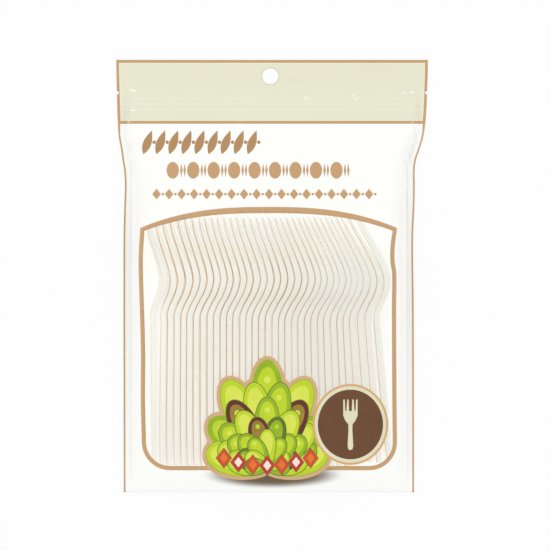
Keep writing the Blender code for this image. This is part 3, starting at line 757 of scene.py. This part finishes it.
def lay_fork_tree():
    """Geometry Nodes: bends a fork to its place in the row, tilts it and marks where neighbours are close,
    for the painted shade, and where forks stand apart, for the painted light.
    """
    inputs = [("Fork", "Geometry"), *((name, "Float") for name in FORK_SETTINGS),
              ("Neck", "Vector"), ("Plastic", "Material")]
    tree, given = new_geometry_tree("Lay fork", inputs, "Laid")

    def times(first, second):
        return maths(tree, "MULTIPLY", first, second)

    def plus(first, second):
        return maths(tree, "ADD", first, second)

    position = new_node(tree, "GeometryNodeInputPosition")["Position"]
    up = new_node(tree, "ShaderNodeSeparateXYZ", {"Vector": position})["Y"]
    across = new_node(tree, "GeometryNodeInputNamedAttribute", {"Name": "across"})["Attribute"]
    handle, head = maths(tree, "MINIMUM", up, 0.0), maths(tree, "MAXIMUM", up, 0.0)
    lean = plus(times(handle, given["Handle lean"]), times(head, given["Head lean"]))
    flex = times(times(head, head), given["Head flex"])
    swell = times(ramp(tree, up, 0.0, 0.03, given["Handle thickness"], given["Head thickness"]), across)
    stretch = times(handle, given["Handle stretch"])
    aside = plus(plus(lean, flex), swell)
    shift = new_node(tree, "ShaderNodeCombineXYZ", {"X": aside, "Y": stretch})["Vector"]
    turn = new_node(tree, "ShaderNodeCombineXYZ", {"X": given["Tilt"], "Y": given["Roll"]})["Vector"]

    wide_at_tips = ramp(tree, up, *TINES, 0.0, given["Wide at tips"])
    wide_at_end = ramp(tree, up, -0.082, -0.066, given["Wide at tips"], 0.0)
    apart_at_handle = ramp(tree, up, -0.016, -0.004, given["Apart at handle"], 0.0)
    marks = {
        "tips": wide_at_tips,
        "shade": ramp(tree, up, *TINES, given["Shade"], 1.0),
        "apart": plus(plus(apart_at_handle, wide_at_end), wide_at_tips),
    }
    # The painted shade along each long edge, given at the handle, the bowl and the tips.
    for side in ("Left", "Right"):
        lower = ramp(tree, up, 0.0, 0.022, given[f"{side} at handle"], given[f"{side} at bowl"])
        change = maths(tree, "SUBTRACT", given[f"{side} at tips"], lower)
        marks[f"{side.lower()} warmth"] = plus(lower, times(ramp(tree, up, 0.036, 0.056, 0.0, 1.0), change))
    marked = given["Fork"]
    for name, value in marks.items():
        stored = {"Geometry": marked, "Name": name, "Value": value}
        marked = new_node(tree, "GeometryNodeStoreNamedAttribute", stored)["Geometry"]
    bent = new_node(tree, "GeometryNodeSetPosition", {"Geometry": marked, "Offset": shift})["Geometry"]
    laid = new_node(tree, "GeometryNodeTransform",
                    {"Geometry": bent, "Rotation": turn, "Translation": given["Neck"]})
    end_tree(tree, laid["Geometry"], given["Plastic"], "Laid")
    return tree


# Where the left side of a fork lies, in mm across the bag, at three heights up the row: places given
# for a few forks, each with how many forks it stands from the second, and how uneven the row is.
AT_HANDLE, AT_BOWL, AT_TIPS = -14.4 * MM, 30.2 * MM, 60.8 * MM
ROW_PLACES = {
    "handle": ((0, -74.0), (10, -30.4), (20, 13.0), (29, 52.5), (32, 68.3)),
    "bowl": ((0, -67.7), (5, -43.0), (10, -21.2), (15, 1.3), (20, 24.2), (25, 45.0), (29, 60.8), (32, 74.0)),
    "tips": ((0, -76.6), (5, -52.0), (10, -30.6), (15, -8.7), (20, 12.3), (25, 31.6), (30, 50.0), (32, 59.5)),
}
UNEVEN = 0.25
# How strong the painted shade of the lines is along the row: strong at the left, faint where the bowls fan
# out at the right.
PAINTED_SHADE_TRENDS = {
    "handle": ((0, 0.7), (5, 0.85), (32, 0.75)),
    "bowl": ((0, 0.9), (20, 0.8), (25, 0.25), (29, 0.2), (32, 0.7)),
    "tips": ((0, 1.0), (10, 0.65), (32, 0.55)),
}
PAINTED_SHADE_SPREAD = 0.18
CLOSE = 0.04 * MM  # between two forks that touch


UPRIGHT = (9, 18)  # the first and the last fork whose handles don't lean
LEFT_LEAN, RIGHT_LEAN, FIRST_LEAN = radians(-1.0), radians(5.0), radians(0.5)
FIRST_THICK = 3.3 * MM
# The painted shade on the first fork's outer side.
FIRST_PAINTED_SHADE = 0.2
END_ROLLS = {1: radians(5.5), FORK_COUNT: radians(-3.0)}  # the outer forks tip over a little
END_SHIFTS = {1: -2.0 * MM, FORK_COUNT: 0.6 * MM}
FIRST_APART = 31  # from here on the handles stand apart
LONG_HANDLES = 29  # up to here the handles reach down to the window's border
SHADE_FROM, SHADE_RUN = 8, 18


def handle_lean(number):
    """The handles' sideways lean, down to the right at the right of the row, as a slope."""
    if number == 1:
        return tan(FIRST_LEAN)
    if number > UPRIGHT[1]:
        return tan(RIGHT_LEAN * ((number - UPRIGHT[1]) / (FORK_COUNT - UPRIGHT[1])) ** 1.6)
    if number < UPRIGHT[0]:
        return tan(LEFT_LEAN * ((UPRIGHT[0] - number) / (UPRIGHT[0] - 1)) ** 1.6)
    return 0.0


def fork_sides(number, sides):
    """One fork's left side and thickness where these sides were taken."""
    pitch = THICK + CLOSE
    left = sides[number - 2] * MM if number > 1 else sides[0] * MM - pitch
    right = sides[number - 1] * MM if number < FORK_COUNT else left + pitch
    return left, min(THICK * 1.18, right - left - CLOSE)


def row_sides():
    """The left side of each fork but the first at each height, in mm, with a little chance in it."""
    chance = np.random.default_rng(FORK_COUNT + 1)
    return {part: [through(places, line) + UNEVEN * chance.uniform(-1.0, 1.0)
                   for line in range(FORK_COUNT - 1)]
            for part, places in ROW_PLACES.items()}


def line_painted_shades():
    """How strong the painted shade of each line between two forks is at each part, with a little chance in
    it.
    """
    chance = np.random.default_rng(FORK_COUNT)
    return {part: [min(1.0, through(trend, line) + PAINTED_SHADE_SPREAD * chance.uniform(-1.0, 1.0))
                   for line in range(FORK_COUNT - 1)]
            for part, trend in PAINTED_SHADE_TRENDS.items()}


def add_forks():
    cage = bpy.data.objects.new("fork_cage", fork_cage())
    bpy.context.scene.collection.objects.link(cage)
    rounded = cage.modifiers.new("rounded", "SUBSURF")
    rounded.levels = rounded.render_levels = 1
    fork = bpy.data.meshes.new_from_object(cage.evaluated_get(bpy.context.evaluated_depsgraph_get()))
    bpy.data.objects.remove(cage)
    store_places(fork)
    plastic = fork_plastic()
    tree = lay_fork_tree()
    socket = {item.name: item.identifier for item in tree.interface.items_tree}
    tilt = asin((HEAD_WIDE - HANDLE_WIDE) / 2 / (ROOT + 0.955 * HANDLE))
    neck_z = 0.7 * MM + 0.955 * HANDLE * sin(tilt) + HANDLE_WIDE / 2 * cos(tilt)
    tip_thick = through(FORK_DEEP, AT_TIPS)
    sides, painted_shades = row_sides(), line_painted_shades()
    for number in range(1, FORK_COUNT + 1):
        handle_left, handle_thick = fork_sides(number, sides["handle"])
        handle_thick = min(handle_thick, THICK) if number > 1 else FIRST_THICK
        bowl_left, bowl_thick = fork_sides(number, sides["bowl"])
        tip_left = fork_sides(number, sides["tips"])[0]
        lean = handle_lean(number)
        neck_x = handle_left + handle_thick / 2 + AT_HANDLE * lean
        bowl_off = bowl_left + bowl_thick / 2 - neck_x - through(FORK_OUT, AT_BOWL)
        tip_off = tip_left + tip_thick / 2 - neck_x - through(FORK_OUT, AT_TIPS)
        flex = (tip_off - bowl_off * AT_TIPS / AT_BOWL) / (AT_TIPS ** 2 - AT_BOWL * AT_TIPS)
        laid = bpy.data.objects.new(f"moulded_fork_{number:02d}", fork)
        bpy.context.scene.collection.objects.link(laid)
        lay = laid.modifiers.new("lay", "NODES")
        lay.node_group = tree
        settings = {
            "Handle lean": -lean,
            "Head lean": bowl_off / AT_BOWL - flex * AT_BOWL,
            "Head flex": flex,
            "Handle thickness": handle_thick / THICK - 1,
            "Head thickness": bowl_thick / THICK - 1,
            "Roll": END_ROLLS.get(number, 0.0),
            "Tilt": tilt,
            "Wide at tips": 1.0 if 1 < number < FORK_COUNT else 0.0,
            "Shade": clamp((number - SHADE_FROM) / SHADE_RUN),
            "Apart at handle": 1.0 if FIRST_APART <= number < FORK_COUNT else 0.0,
            "Handle stretch": 0.025 if number <= LONG_HANDLES else 0.0,
            "Neck": (neck_x + END_SHIFTS.get(number, 0.0), NECK_Y, neck_z),
            "Plastic": plastic,
        }
        # The painted shade on each side of the fork, from the lines it stands between.
        for part, painted_shade in painted_shades.items():
            settings[f"Left at {part}"] = painted_shade[number - 2] if number > 1 else FIRST_PAINTED_SHADE
            settings[f"Right at {part}"] = painted_shade[number - 1] if 1 < number < FORK_COUNT else 0.0
        for name, value in settings.items():
            lay[socket[name]] = value
        settled = bpy.data.meshes.new_from_object(laid.evaluated_get(bpy.context.evaluated_depsgraph_get()))
        laid.modifiers.remove(lay)
        laid.data = settled
        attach(laid, "root")
        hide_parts(f"fork_{number:02d}")


add_forks()


# The printed ornaments
# Tan flexo ink on the white film above the window: three rows of plain repeated shapes, each laid out
# evenly along its line and lying on the film's own folds.
def motif_mesh(name, outlines, step=1.6 * MM):
    """Flat shapes filled with small triangles, ready to lie on a curved film."""
    flat, faces = filled(outlines, step)
    xs, ys = centres(flat, faces)
    kept = np.zeros(len(faces), bool)
    for outline in outlines:
        kept |= within(outline, xs, ys)
    mesh = bpy.data.meshes.new(name)
    mesh.from_pydata([(x, y, 0.0) for x, y in flat], [], [f for f, keep in zip(faces, kept) if keep])
    return mesh


def row_tree():
    """Geometry Nodes: repeats a flat shape along a straight line."""
    inputs = (("Shape", "Geometry"), ("Count", "Int"), ("First", "Vector"), ("Step", "Vector"),
              ("Ink", "Material"))
    tree, given = new_geometry_tree("Row of shapes", inputs, "Row")
    line = new_node(tree, "GeometryNodeMeshLine",
                    {"Count": given["Count"], "Start Location": given["First"], "Offset": given["Step"]})
    repeated = new_node(tree, "GeometryNodeInstanceOnPoints",
                        {"Points": line["Mesh"], "Instance": given["Shape"]})
    end_tree(tree, repeated["Instances"], given["Ink"], "Row")
    return tree


def ellipse(x, y, half_width, half_height, steps=32):
    return [(x + half_width * cos(2 * pi * k / steps), y + half_height * sin(2 * pi * k / steps))
            for k in range(steps)]


def lozenge(x, y, half_width, half_height):
    return [(x + half_width, y), (x, y + half_height), (x - half_width, y), (x, y - half_height)]


ornament_rows = row_tree()
brown_ink = film_material("brown_ink", ink(184, 143, 99), ink(176, 134, 91))
PRINT_LIFT = 0.08 * MM


def lay_on_film(mesh, lift=PRINT_LIFT):
    for vert in mesh.vertices:
        vert.co.z = front_at(vert.co.x, vert.co.y) + lift
    mesh.polygons.foreach_set("use_smooth", np.ones(len(mesh.polygons), bool))


def add_ornament(name, outlines, count, first_x, middle_y, pitch, coloured):
    row = bpy.data.objects.new(name, motif_mesh(name, outlines))
    bpy.context.scene.collection.objects.link(row)
    socket = {item.name: item.identifier for item in ornament_rows.interface.items_tree}
    repeat = row.modifiers.new("repeat", "NODES")
    repeat.node_group = ornament_rows
    repeat[socket["Count"]] = count
    repeat[socket["First"]] = (first_x, middle_y, 0.0)
    repeat[socket["Step"]] = (pitch, 0.0, 0.0)
    repeat[socket["Ink"]] = coloured
    made = bpy.data.meshes.new_from_object(row.evaluated_get(bpy.context.evaluated_depsgraph_get()))
    row.modifiers.remove(repeat)
    lay_on_film(made)
    row.data = made
    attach(row, "root")


add_ornament("upper_ornament",
             [leaf(-2.9 * MM, -8 * MM, 70, 17 * MM, 5.6 * MM), ellipse(4.35 * MM, 0, 1.2 * MM, 1.2 * MM, 16)],
             9, -82.6 * MM, 89 * MM, 8.7 * MM, brown_ink)
add_ornament("middle_ornament",
             [ellipse(0, 0, 4.1 * MM, 5.6 * MM), lozenge(5.7 * MM, 0, 0.85 * MM, 4.6 * MM),
              lozenge(7.9 * MM, 0, 0.85 * MM, 4.6 * MM)],
             9, -65.8 * MM, 70.3 * MM, 13.6 * MM, tan_ink)
add_ornament("lower_ornament",
             [lozenge(0, 0, 2.9 * MM, 3.6 * MM), ellipse(4.15 * MM, 0, 0.9 * MM, 0.9 * MM, 14)],
             18, -76.5 * MM, 54.4 * MM, 8.3 * MM, tan_ink)


# The printed fan of petals
# Process inks on the clear window and the white film below it: a plain fan of overlapping dotted petals
# with a row of lozenges at its foot, a tan outline all round it and a soft brown shade under it.
def flat_print(name, layers, inks, step, lift):
    """One sheet of print: each outline in turn covers those before it."""
    flat, faces = filled([outline for outline, _ in layers], step)
    xs, ys = centres(flat, faces)
    kinds = np.full(len(faces), -1)
    for outline, kind in layers:
        kinds[within(outline, xs, ys)] = kind
    kept = [(f, k) for f, k in zip(faces, kinds) if k >= 0]
    used = sorted({v for f, _ in kept for v in f})
    place = {v: k for k, v in enumerate(used)}
    piece = mesh_piece(name, [(*flat[v], 0.0) for v in used], [tuple(place[v] for v in f) for f, _ in kept],
                       inks, [k for _, k in kept])
    lay_on_film(piece.data, lift)
    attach(piece, "root")
    return piece


def print_ink(name, colour, other):
    return film_material(name, ink(*colour), ink(*other), cloud_scale=140.0)


FAN_X, FAN_Y = -3 * MM, -128 * MM
FAN_INKS = (
    print_ink("outline_tan", (214, 178, 132), (206, 166, 118)),
    print_ink("pale_lime", (226, 233, 96), (206, 222, 56)),
    print_ink("lime", (200, 220, 36), (176, 205, 22)),
    print_ink("fresh_green", (160, 192, 24), (132, 166, 22)),
    print_ink("deep_green", (104, 132, 26), (74, 98, 22)),
    print_ink("dark_brown", (112, 44, 32), (84, 30, 26)),
    print_ink("olive", (168, 144, 44), (134, 104, 40)),
    print_ink("red", (222, 84, 40), (200, 58, 34)),
    print_ink("orange", (232, 128, 44), (220, 104, 34)),
    print_ink("cream", (244, 236, 214), (236, 222, 196)),
    print_ink("crimson", (206, 44, 56), (186, 32, 44)),
)
TAN, PALE, LIME, GREEN, DEEP, BROWN, OLIVE, RED, ORANGE, CREAM, CRIMSON = range(len(FAN_INKS))


def petal(x, y, angle, length, width, grow=0.0):
    """A plain round petal from its stalk, or its outline grown outwards."""
    turn, points, steps = radians(angle), [], 40
    for k in range(steps):
        t = 2 * pi * k / steps
        a = length / 2 - (length / 2 + grow) * cos(t)
        b = (width / 2 + grow) * sin(t) * (1 - 0.22 * cos(t))
        points.append((x + a * cos(turn) - b * sin(turn), y + a * sin(turn) + b * cos(turn)))
    return points


def dotted_petal(x, y, angle, length, width, dark, light, dot, rim):
    """A petal in two shades with a dark rim and a round dot, from the bottom layer up."""
    def along(share):
        return x + length * share * cos(radians(angle)), y + length * share * sin(radians(angle))

    return [(petal(x, y, angle, length, width, 0.5 * MM), rim),
            (petal(x, y, angle, length, width), dark),
            (petal(*along(0.3), angle, length * 0.64, width * 0.66), light),
            (ellipse(*along(0.82), width * 0.11, width * 0.11, 16), dot)]


def add_fan():
    def reach(angle):
        return (41 + 31 * sin(radians(angle)) ** 3) * MM

    tiers = (
        (7, 16, 164, 1.0, 21 * MM, (LIME, GREEN), (PALE, LIME), PALE, GREEN),
        (8, 24, 156, 0.82, 18 * MM, (GREEN, LIME, BROWN), (LIME, PALE, OLIVE), PALE, DEEP),
        (7, 14, 166, 0.66, 16 * MM, (LIME, GREEN), (PALE, LIME), PALE, DEEP),
        (6, 26, 154, 0.50, 14 * MM, (BROWN, GREEN, DEEP), (OLIVE, LIME, GREEN), LIME, DEEP),
        (7, 8, 172, 0.36, 11 * MM, (GREEN, LIME), (LIME, PALE), PALE, DEEP),
    )
    outline, petals = [], []
    for count, start, end, share, width, darks, lights, rib, rim in tiers:
        for k in range(count):
            angle = start + (end - start) * k / (count - 1)
            length = reach(angle) * share
            if share > 0.6:
                outline.append((petal(FAN_X, FAN_Y, angle, length, width, 2.9 * MM), TAN))
            petals += dotted_petal(FAN_X, FAN_Y, angle, length, width,
                                   darks[k % len(darks)], lights[k % len(lights)], rib, rim)
    gems = []
    for k in range(-3, 4):
        x, y = FAN_X + 9.6 * k * MM, FAN_Y + (2 + 0.55 * k * k) * MM
        rim, middle = ((CRIMSON, CREAM), (RED, ORANGE))[k % 2]
        gems += [(lozenge(x, y, 5.5 * MM, 7.1 * MM), DEEP), (lozenge(x, y, 5.0 * MM, 6.5 * MM), rim),
                 (lozenge(x, y, 2.7 * MM, 3.5 * MM), middle)]
    flat_print("petal_fan_print", outline + petals + gems, FAN_INKS, 2.0 * MM, PRINT_LIFT + 0.2 * MM)


def shade_material():
    """A printed shadow that fades out to its rim."""
    made = film_material("printed_shade", ink(112, 92, 58), ink(96, 78, 48))
    fade = new_node(made.node_tree, "ShaderNodeAttribute", attribute_name="fade")["Fac"]
    set_inputs(made.node_tree.nodes["Principled BSDF"], {"Alpha": fade})
    return made


def add_shade():
    x, y, half_width, half_height = 1 * MM, -132.4 * MM, 49 * MM, 9.6 * MM
    rings = [(ellipse(x, y, half_width * share, half_height * share, 48), 0)
             for share in (1.0, 0.92, 0.84, 0.76, 0.68, 0.6, 0.45, 0.25)]
    piece = flat_print("printed_shade", rings, (shade_material(),), 2.0 * MM, PRINT_LIFT + 0.06 * MM)
    values = []
    for vert in piece.data.vertices:
        off = sqrt(((vert.co.x - x) / half_width) ** 2 + ((vert.co.y - y) / half_height) ** 2)
        values.append(0.9 * smooth(1.7 * (1 - off)))
    piece.data.attributes.new("fade", "FLOAT", "POINT").data.foreach_set("value", values)


add_shade()
add_fan()


# The printed badge
# An upright oval badge in brown ink with a cream and a tan ring, over the window's lower right corner,
# bearing a plain fork shape.
def fork_shape(x, y, height):
    """A plain upright fork: a handle, a bowl and four tines."""
    unit = height / 40
    half = [(0.0, -20), (1.5, -19.5), (2.2, -17), (1.5, -4), (1.6, 0), (4.2, 3.5), (5.6, 7), (5.6, 19),
            (5.0, 20), (4.4, 19), (4.0, 10.5), (3.2, 10.5), (2.6, 19), (2.0, 20), (1.4, 19), (1.0, 10.5),
            (0.0, 10.5)]
    right = [(x + a * unit, y + b * unit) for a, b in half]
    left = [(x - a * unit, y + b * unit) for a, b in half[1:-1][::-1]]
    return right + left


def add_badge():
    x, y = 52.3 * MM, -98.7 * MM
    rings = (ellipse(x, y, 25.1 * MM, 26.9 * MM, 72), ellipse(x, y, 23.7 * MM, 25.5 * MM, 72),
             ellipse(x, y, 21.7 * MM, 23.2 * MM, 72))
    inks = (print_ink("badge_tan", (219, 174, 120), (212, 163, 106)),
            print_ink("badge_cream", (228, 225, 196), (221, 218, 186)),
            print_ink("badge_brown", (112, 72, 42), (94, 60, 32)))
    layers = [(rings[0], 0), (rings[1], 1), (rings[2], 2), (fork_shape(x, y, 34 * MM), 1)]
    flat_print("badge_print", layers, inks, 2.4 * MM, PRINT_LIFT + 0.4 * MM)


add_badge()


# The floor, the light and the camera
# A plain white floor under a soft overhead light, and a camera straight above the pack.
FLOOR_DROP = 0.2 * MM


def floor_material():
    """White paper that keeps a soft shadow, near white for the camera, and open from below."""
    made = bpy.data.materials.new("floor")
    made.use_nodes = True
    tree = made.node_tree
    tree.nodes.clear()
    path = new_node(tree, "ShaderNodeLightPath")
    seen = maths(tree, "MAXIMUM", path["Is Camera Ray"], path["Is Glossy Ray"])
    seen = maths(tree, "MAXIMUM", seen, path["Is Transmission Ray"])
    paper = new_node(tree, "ShaderNodeBsdfDiffuse", {"Color": (0.96, 0.96, 0.96, 1.0)})["BSDF"]
    glow = new_node(tree, "ShaderNodeEmission", {"Color": (1.0, 1.0, 1.0, 1.0)})["Emission"]
    share = maths(tree, "MULTIPLY", seen, 0.8)
    lit = new_node(tree, "ShaderNodeMixShader", {"Fac": share, 1: paper, 2: glow})
    clear = new_node(tree, "ShaderNodeBsdfTransparent")["BSDF"]
    below = new_node(tree, "ShaderNodeNewGeometry")["Backfacing"]
    both = new_node(tree, "ShaderNodeMixShader", {"Fac": below, 1: lit["Shader"], 2: clear})
    new_node(tree, "ShaderNodeOutputMaterial", {"Surface": both["Shader"]})
    return made


def add_floor():
    half = 2.5
    corners = [(x * half, y * half, -FLOOR_DROP) for x, y in ((-1, -1), (1, -1), (1, 1), (-1, 1))]
    floor = mesh_piece("floor", corners, [(0, 1, 2, 3)], (floor_material(),))


def add_lamp(name, place, aim, size, watts):
    lamp = bpy.data.lights.new(name, "AREA")
    lamp.shape = "DISK"
    lamp.size = size
    lamp.energy = watts
    holder = bpy.data.objects.new(name, lamp)
    holder.location = place
    holder.rotation_euler = (Vector(aim) - Vector(place)).to_track_quat("-Z", "Y").to_euler()
    bpy.context.scene.collection.objects.link(holder)


def add_world():
    world = bpy.data.worlds.new("studio")
    world.use_nodes = True
    tree = world.node_tree
    path = new_node(tree, "ShaderNodeLightPath")
    strength = ramp(tree, path["Is Camera Ray"], 0.0, 1.0, 0.93, 1.0)
    set_inputs(tree.nodes["Background"], {"Color": (1.0, 1.0, 1.0, 1.0), "Strength": strength})
    bpy.context.scene.world = world


PIXEL = 0.665 * MM  # at the height of the forks' tops
EYE_HEIGHT = 10.0
FOCUS_Z = 13 * MM


def add_camera():
    camera = bpy.data.cameras.new("camera")
    camera.sensor_width = 36.0
    camera.lens = 36.0 * (EYE_HEIGHT - FOCUS_Z) / (550 * PIXEL)
    camera.clip_start, camera.clip_end = 0.01, 40.0
    holder = bpy.data.objects.new("camera", camera)
    holder.location = ((275 - 271.75) * PIXEL, (276 - 275) * PIXEL, EYE_HEIGHT)
    bpy.context.scene.collection.objects.link(holder)
    bpy.context.scene.camera = holder


add_floor()
add_world()
add_lamp("overhead", (-0.35, 0.45, 1.3), (0, 0, 0), 0.9, 1.1)
add_lamp("side", (0.9, -0.3, 0.9), (0, 0, 0), 0.8, 0.25)
add_camera()
bpy.context.scene.view_settings.view_transform = "Standard"
